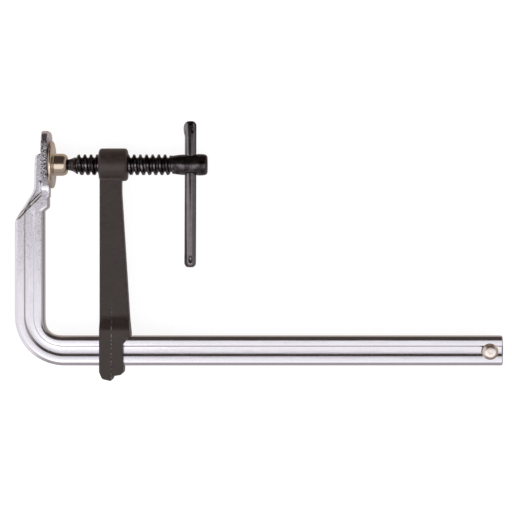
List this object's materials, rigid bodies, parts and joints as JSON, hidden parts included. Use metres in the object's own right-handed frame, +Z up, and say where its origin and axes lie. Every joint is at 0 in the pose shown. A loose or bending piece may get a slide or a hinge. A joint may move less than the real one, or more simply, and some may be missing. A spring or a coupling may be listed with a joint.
{
  "type": "f clamp",
  "caption": "All-steel F clamp: bent rail with a forged fixed jaw, sliding arm, trapezoidal spindle with tommy bar, swivel pad and a stop pin at the rail's free end",
  "frame": {"origin": "centre of the bounding box's underside, with the clamp lying on its side", "axes": "+X runs along the rail from the fixed jaw's end to the free end, +Y runs from the rail to the spindle, +Z is up, across the rail's thickness"},
  "size_m": [0.3422, 0.1822, 0.0332],
  "materials": {
    "bright_plated_steel": "bright plated rolled and forged steel",
    "yellow_zinc": "yellow passivated zinc on turned steel",
    "black_forging": "satin black-brown finish on forged steel",
    "black_oxide_steel": "oiled black oxide on rolled thread and drawn bar",
    "spring_steel": "plain spring wire"
  },
  "bodies": {
    "rail": {"rail": "bright_plated_steel", "stop_pin": "yellow_zinc"},
    "arm": {"sliding_arm": "black_forging"},
    "pad": {"swivel_pad": "yellow_zinc", "pad_snap_ring": "spring_steel"},
    "spindle": {"spindle": "black_oxide_steel"},
    "bar": {"tommy_bar": "black_oxide_steel"}
  },
  "joints": [
    {"name": "arm_slide", "type": "slide", "parent": "rail", "child": "arm", "axis": [1, 0, 0], "range_m": [0, 0.2502]},
    {"name": "spindle_feed", "type": "slide", "parent": "arm", "child": "pad", "axis": [1, 0, 0], "range_m": [0, 0.02165]},
    {"name": "spindle_turn", "type": "hinge", "parent": "pad", "child": "spindle", "pos_m": [-0.0866, 0.06042, 0.01659], "axis": [1, 0, 0], "range_deg": [0, 1800]},
    {"name": "bar_slide", "type": "slide", "parent": "spindle", "child": "bar", "axis": [0, 1, 0], "range_m": [-0.0137, 0.0552]}
  ],
  "couplings": [
    {"joint": "spindle_feed", "follows": "spindle_turn", "m_per_rad": 0.00068914}
  ]
}
